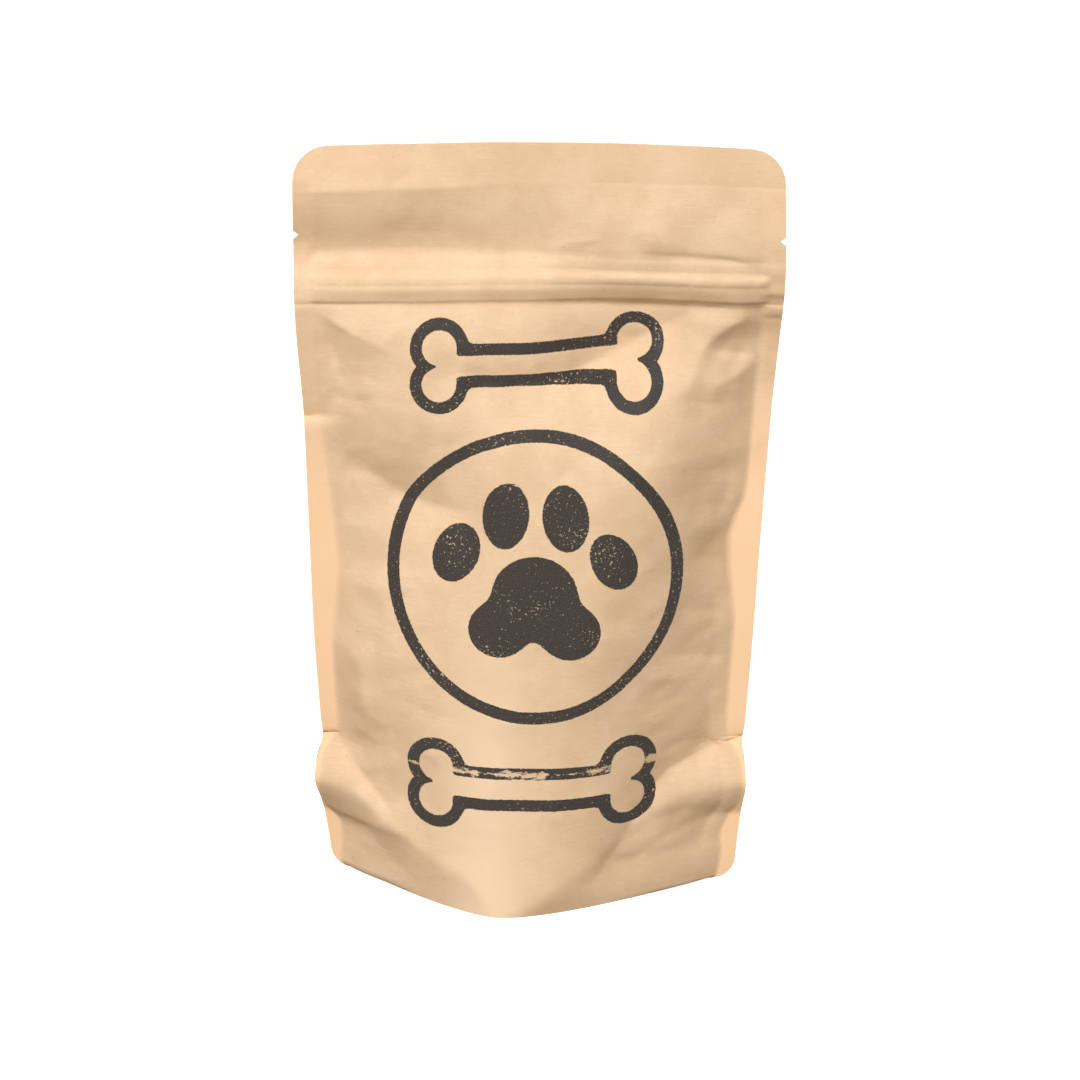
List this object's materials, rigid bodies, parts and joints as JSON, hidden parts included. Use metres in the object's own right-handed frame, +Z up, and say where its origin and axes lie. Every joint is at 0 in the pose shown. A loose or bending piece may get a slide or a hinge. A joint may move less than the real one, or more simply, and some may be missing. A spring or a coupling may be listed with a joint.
{
  "type": "bag of dog treats",
  "caption": "Shut stand-up pouch of kraft paper with a press zipper, sealed sides and a gusseted bottom, filled and standing.",
  "frame": {"origin": "on the surface that the pouch stands on, under the middle of its box", "axes": "+Z up, +X to the pouch's right as seen from its printed front, -Y out of the printed front"},
  "size_m": [0.1308, 0.0616, 0.209],
  "materials": {
    "kraft_paper": "matt brown kraft paper with a black printed emblem"
  },
  "bodies": {
    "root": {"pouch": "kraft_paper"}
  },
  "joints": []
}
